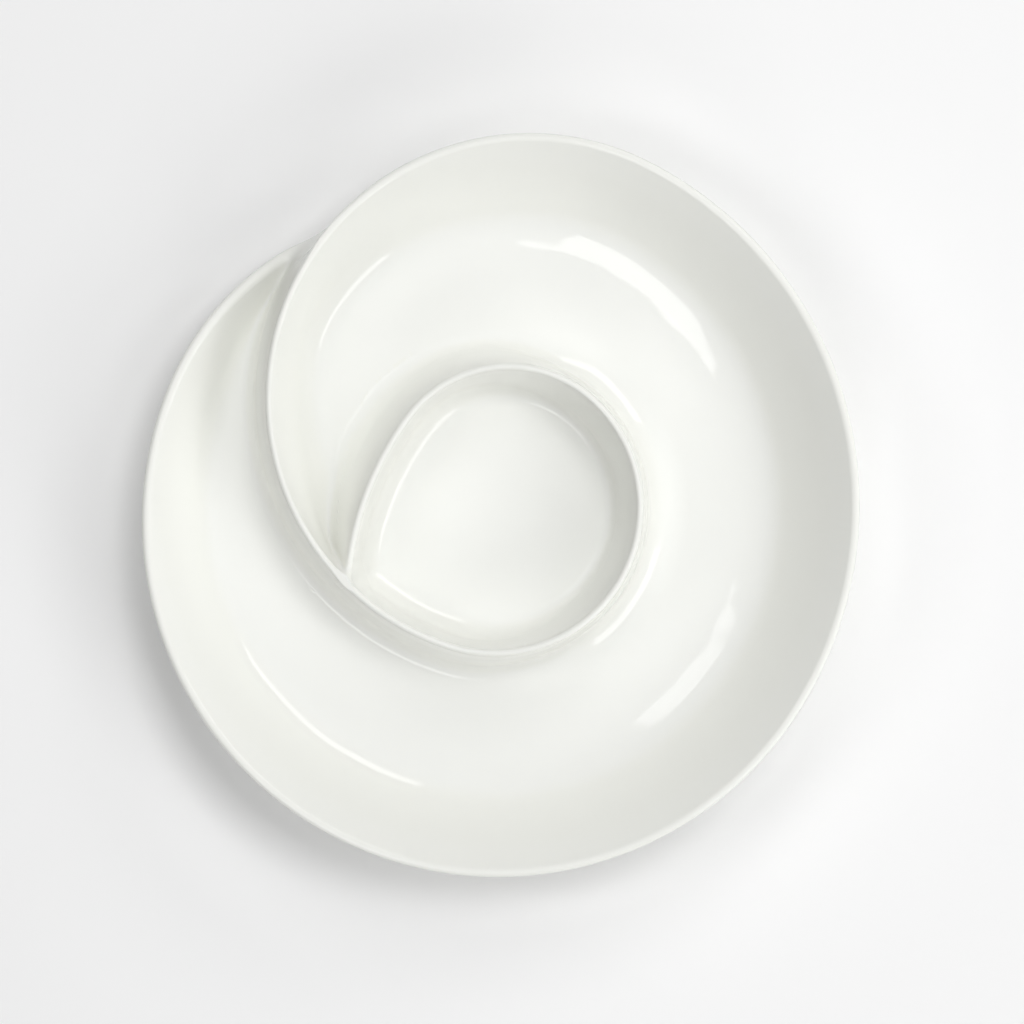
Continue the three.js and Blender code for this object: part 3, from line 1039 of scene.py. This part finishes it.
class ShadeTree:
    """The node tree of a material or of the world, written as expressions."""

    def __init__(self, owner: Union[bpy.types.Material, bpy.types.World]) -> None:
        """Start with an empty tree."""
        owner.use_nodes = True
        self.tree = owner.node_tree
        self.tree.nodes.clear()

    def node(self, kind: str, settings: Optional[dict[str, Any]] = None,
             sockets: Optional[dict[str, Input]] = None) -> bpy.types.Node:
        """Add a node.

        Args:
            kind: the node's type.
            settings: its own settings, set first.
            sockets: the values or links of its inputs, by the socket's identifier.

        Returns:
            The new node.
        """
        node = self.tree.nodes.new(kind)
        for name, value in (settings or {}).items():
            setattr(node, name, value)
        for name, value in (sockets or {}).items():
            target = next(socket for socket in node.inputs if socket.identifier == name)
            if isinstance(value, Shade):
                self.tree.links.new(value.socket, target)
            else:
                target.default_value = value
        return node

    def value(self, kind: str, settings: Optional[dict[str, Any]] = None,
              sockets: Optional[dict[str, Input]] = None, output: str = "") -> Shade:
        """Add a node and give one of its outputs, the first unless another is named."""
        node = self.node(kind, settings, sockets)
        if not output:
            return Shade(self, node.outputs[0])
        return Shade(self, next(socket for socket in node.outputs if socket.identifier == output))

    def math(self, operation: str, first: Value, second: Value) -> Shade:
        """Add a Math node on two values."""
        return self.value("ShaderNodeMath", {"operation": operation}, {"Value": first, "Value_001": second})

    def mix(self, first: Input, second: Input, share: Value) -> Shade:
        """Mix two colours by a share."""
        sockets = {"Factor_Float": share, "A_Color": first, "B_Color": second}
        return self.value("ShaderNodeMix", {"data_type": "RGBA"}, sockets, "Result_Color")

    def ramp(self, value: Value, span: Span) -> Shade:
        """Give a smooth step, 0 to 1, as a value goes through a span."""
        sockets = {"Value": value, "From Min": span.start, "From Max": span.end}
        return self.value("ShaderNodeMapRange", {"interpolation_type": "SMOOTHSTEP"}, sockets)

    def noise(self, noise: Noise) -> Shade:
        """Give a noise over the object, from 0 to 1 and about 0.5."""
        place = self.value("ShaderNodeTexCoord", output="Object")
        return self.value("ShaderNodeTexNoise", sockets={
            "Vector": place, "Scale": noise.scale, "Detail": noise.detail, "Roughness": noise.roughness})

    def waver(self, noise: Noise) -> Shade:
        """Give a noise over the object about 0."""
        return self.noise(noise) - 0.5

    def bump(self, height: Value, distance: float, under: Optional[Shade] = None) -> Shade:
        """Turn a height, in shares of a distance, into a normal, over another one where given."""
        sockets: dict[str, Input] = {"Height": height, "Distance": distance, "Strength": 1.0}
        if under is not None:
            sockets["Normal"] = under
        return self.value("ShaderNodeBump", sockets=sockets)

    def surface(self, shader: Shade, output: str = "ShaderNodeOutputMaterial") -> None:
        """Make a shader the tree's result."""
        self.node(output, sockets={"Surface": shader})


@dataclass(frozen=True)
class GlazeFinish:
    """Clear gloss glaze over white porcelain: thin on the crest of the rim and deeper on the level floor,
    where it swells; the slopes are coloured a darker olive than the floor as painted shade.
    """

    crest_colour: Colour = (0.868, 0.874, 0.832, 1.0)
    # Painted shade: the slopes' darker olive stands in for the shade that falls on the walls.
    slope_painted_shade_colour: Colour = (0.872, 0.877, 0.834, 1.0)
    level_colour: Colour = (0.877, 0.884, 0.853, 1.0)
    mottle: Noise = Noise(22.0, 4.0, 0.6)
    mottle_depth: float = 0.3
    roughness: float = 0.055
    smear: Noise = Noise(44.0, 3.0)
    smear_depth: float = 0.03
    ior: float = 1.5
    swell: Noise = Noise(34.0, 1.0)
    swell_height: float = 0.0007
    peel: Noise = Noise(420.0)
    peel_height: float = 0.000012

    def material(self) -> bpy.types.Material:
        """Mix the glaze.

        Returns:
            The finished material.
        """
        material = bpy.data.materials.new("porcelain_glaze")
        tree = ShadeTree(material)
        depth = tree.value("ShaderNodeAttribute", {"attribute_name": GLAZE_DEPTH_AND_SHADE}, output="Fac")
        shade_and_mottle = depth + self.mottle_depth * tree.waver(self.mottle)
        # Painted shade: the walls' slopes get a darker olive colour than the level floor, and random mottle
        # moves the borders.
        slope_shade_share = tree.ramp(shade_and_mottle, Span(0.0, SLOPE_GLAZE_AND_SHADE))
        level_share = tree.ramp(shade_and_mottle, Span(SLOPE_GLAZE_AND_SHADE, 1.0))
        colour = tree.mix(self.crest_colour, self.slope_painted_shade_colour, slope_shade_share)
        colour = tree.mix(colour, self.level_colour, level_share)
        swell = tree.bump(depth * tree.waver(self.swell), self.swell_height)
        tree.surface(tree.value("ShaderNodeBsdfPrincipled", sockets={
            "Base Color": colour,
            "Roughness": self.roughness + self.smear_depth * tree.waver(self.smear),
            "IOR": self.ior,
            "Normal": tree.bump(tree.noise(self.peel), self.peel_height, swell)}))
        return material


@dataclass(frozen=True)
class BareClayFinish:
    """Bare fired porcelain on the foot's contact band, with the glaze wiped back to a soft line."""

    clay_colour: Colour = (0.80, 0.755, 0.675, 1.0)
    speck_colour: Colour = (0.66, 0.60, 0.51, 1.0)
    glaze_colour: Colour = (0.880, 0.887, 0.858, 1.0)
    clay_roughness: float = 0.82
    glaze_roughness: float = 0.08
    wiped_height: float = 0.0019
    wiped_edge: float = 0.00025
    line: Noise = Noise(90.0, 3.0)
    line_waver: float = 0.0012
    grain: Noise = Noise(2600.0, 3.0, 0.7)
    grain_height: float = 0.00006
    grain_share: float = 0.25
    specks: Noise = Noise(900.0)
    speck_edge: Span = Span(0.58, 0.70)
    speck_share: float = 0.5

    def material(self) -> bpy.types.Material:
        """Mix the wiped finish.

        Returns:
            The finished material.
        """
        material = bpy.data.materials.new("bare_porcelain")
        tree = ShadeTree(material)
        place = tree.value("ShaderNodeTexCoord", output="Object")
        height = tree.value("ShaderNodeSeparateXYZ", sockets={"Vector": place}, output="Z")
        line = self.wiped_height + self.line_waver * tree.waver(self.line)
        glazed = tree.ramp(height - line, Span(-self.wiped_edge, self.wiped_edge))
        specks = tree.ramp(tree.noise(self.specks), self.speck_edge)
        grain = tree.noise(self.grain)
        stained = self.speck_share * specks + self.grain_share * grain
        clay = tree.mix(self.clay_colour, self.speck_colour, stained)
        tree.surface(tree.value("ShaderNodeBsdfPrincipled", sockets={
            "Base Color": tree.mix(clay, self.glaze_colour, glazed),
            "Roughness": self.clay_roughness + (self.glaze_roughness - self.clay_roughness) * glazed,
            "Normal": tree.bump(grain * (1.0 - glazed), self.grain_height)}))
        return material


@dataclass(frozen=True)
class SoftBox:
    """A rectangular studio lamp aimed at the platter.

    The azimuth is its direction from the platter in plan, in degrees from +X, and the fall is
    its angle from straight up. The glow is its brightness, where 1 is white.
    """

    name: str
    azimuth: float
    fall: float
    glow: float
    width: float
    height: float
    distance: float = 2.4
    reflected: bool = True

    def build(self) -> bpy.types.Object:
        """Hang the lamp.

        Returns:
            The lamp's object.
        """
        lamp = bpy.data.lights.new(self.name, "AREA")
        lamp.shape = "RECTANGLE"
        lamp.size = self.width
        lamp.size_y = self.height
        lamp.energy = self.glow * math.pi * self.width * self.height
        box = bpy.data.objects.new(self.name, lamp)
        fall = math.radians(self.fall)
        plan = direction(self.azimuth)
        away = Vector((plan.x * math.sin(fall), plan.y * math.sin(fall), math.cos(fall)))
        box.location = away * self.distance
        box.rotation_euler = away.to_track_quat("Z", "Y").to_euler()
        box.visible_camera = False
        box.visible_glossy = self.reflected
        bpy.context.collection.objects.link(box)
        return box


@dataclass(frozen=True)
class Bounce(SoftBox):
    """A wide lamp that lights the platter and leaves no reflection on the glaze."""

    width: float = 1.05
    height: float = 1.05
    distance: float = 2.7
    reflected: bool = False


@dataclass(frozen=True)
class Studio:
    """A pale floor, soft boxes on four sides, a white surround and a camera straight above."""

    floor_width: float = 12.0
    floor_colour: Colour = (0.918, 0.918, 0.918, 1.0)
    floor_roughness: float = 0.9
    surround_colour: Colour = (1.0, 1.0, 1.0, 1.0)
    camera_height: float = 2.0
    picture_width: float = 0.4557
    picture_middle: tuple[float, float] = (0.0053, -0.0031)
    film_width: float = 36.0
    boxes: tuple[SoftBox, ...] = (
        SoftBox("box_upper_right", 53.0, 60.0, 2.8, 1.68, 0.60),
        SoftBox("box_lower_right", -35.0, 58.0, 2.8, 1.58, 0.60),
        SoftBox("box_lower_left", 236.0, 22.0, 3.0, 0.69, 0.66),
        SoftBox("box_upper_left", 142.0, 20.0, 2.5, 0.375, 0.39),
        Bounce("bounce_overhead", 45.0, 22.0, 6.74),
        Bounce("bounce_right", 0.0, 42.0, 3.00),
        Bounce("bounce_back", 90.0, 42.0, 3.31),
        Bounce("bounce_left", 180.0, 42.0, 3.50),
        Bounce("bounce_front", 270.0, 60.0, 3.20),
        Bounce("bounce_front_right", 315.0, 74.0, 3.90),
    )

    def build(self, rim_height: float) -> None:
        """Set up the floor, the light and the camera.

        Args:
            rim_height: the height of the rim, where the picture's width is measured.
        """
        self.lay_floor()
        self.light_surround()
        for box in self.boxes:
            box.build()
        self.hang_camera(rim_height)

    def lay_floor(self) -> None:
        """Lay the floor, a wide plain sheet of matt card."""
        bpy.ops.object.select_all(action="DESELECT")
        bpy.ops.mesh.primitive_plane_add(size=self.floor_width)
        floor = bpy.context.object
        floor.name = "studio_floor"
        material = bpy.data.materials.new("pale_card")
        tree = ShadeTree(material)
        tree.surface(tree.value("ShaderNodeBsdfPrincipled", sockets={
            "Base Color": self.floor_colour, "Roughness": self.floor_roughness, "Specular IOR Level": 0.0}))
        floor.data.materials.append(material)

    def light_surround(self) -> None:
        """Surround the platter with white that is seen and reflected, and lights nothing else."""
        world = bpy.data.worlds.new("surround")
        bpy.context.scene.world = world
        tree = ShadeTree(world)
        path = tree.node("ShaderNodeLightPath")
        camera, glossy, transmitted = (
            Shade(tree, path.outputs[f"Is {kind} Ray"]) for kind in ("Camera", "Glossy", "Transmission"))
        seen = tree.ramp(camera + glossy + transmitted, Span(0.0, 1.0))
        tree.surface(tree.value("ShaderNodeBackground", sockets={
            "Color": self.surround_colour, "Strength": seen}), "ShaderNodeOutputWorld")

    def hang_camera(self, rim_height: float) -> None:
        """Hang the camera straight above, looking down with +Y up the picture."""
        lens = bpy.data.cameras.new("camera")
        lens.sensor_width = self.film_width
        lens.lens = self.film_width * self.camera_height / self.picture_width
        camera = bpy.data.objects.new("camera", lens)
        camera.location = (*self.picture_middle, rim_height + self.camera_height)
        bpy.context.collection.objects.link(camera)
        bpy.context.scene.camera = camera
        bpy.context.scene.view_settings.view_transform = "Standard"


def main() -> None:
    """Build and dress the platter, then set up the studio."""
    logging.basicConfig(level=logging.INFO, format="%(name)s: %(message)s")
    walls = WallShape(Spiral())
    body = GlazedBody(walls)
    skin = body.build()
    body.dress(skin, GlazeFinish().material())
    log.info("%s: %d faces", skin.name, len(skin.data.polygons))
    foot = FootRing()
    ring = foot.build()
    foot.dress(ring, BareClayFinish().material())
    log.info("%s: %d faces", ring.name, len(ring.data.polygons))
    Studio().build(walls.rim_height)


if __name__ == "__main__":
    main()
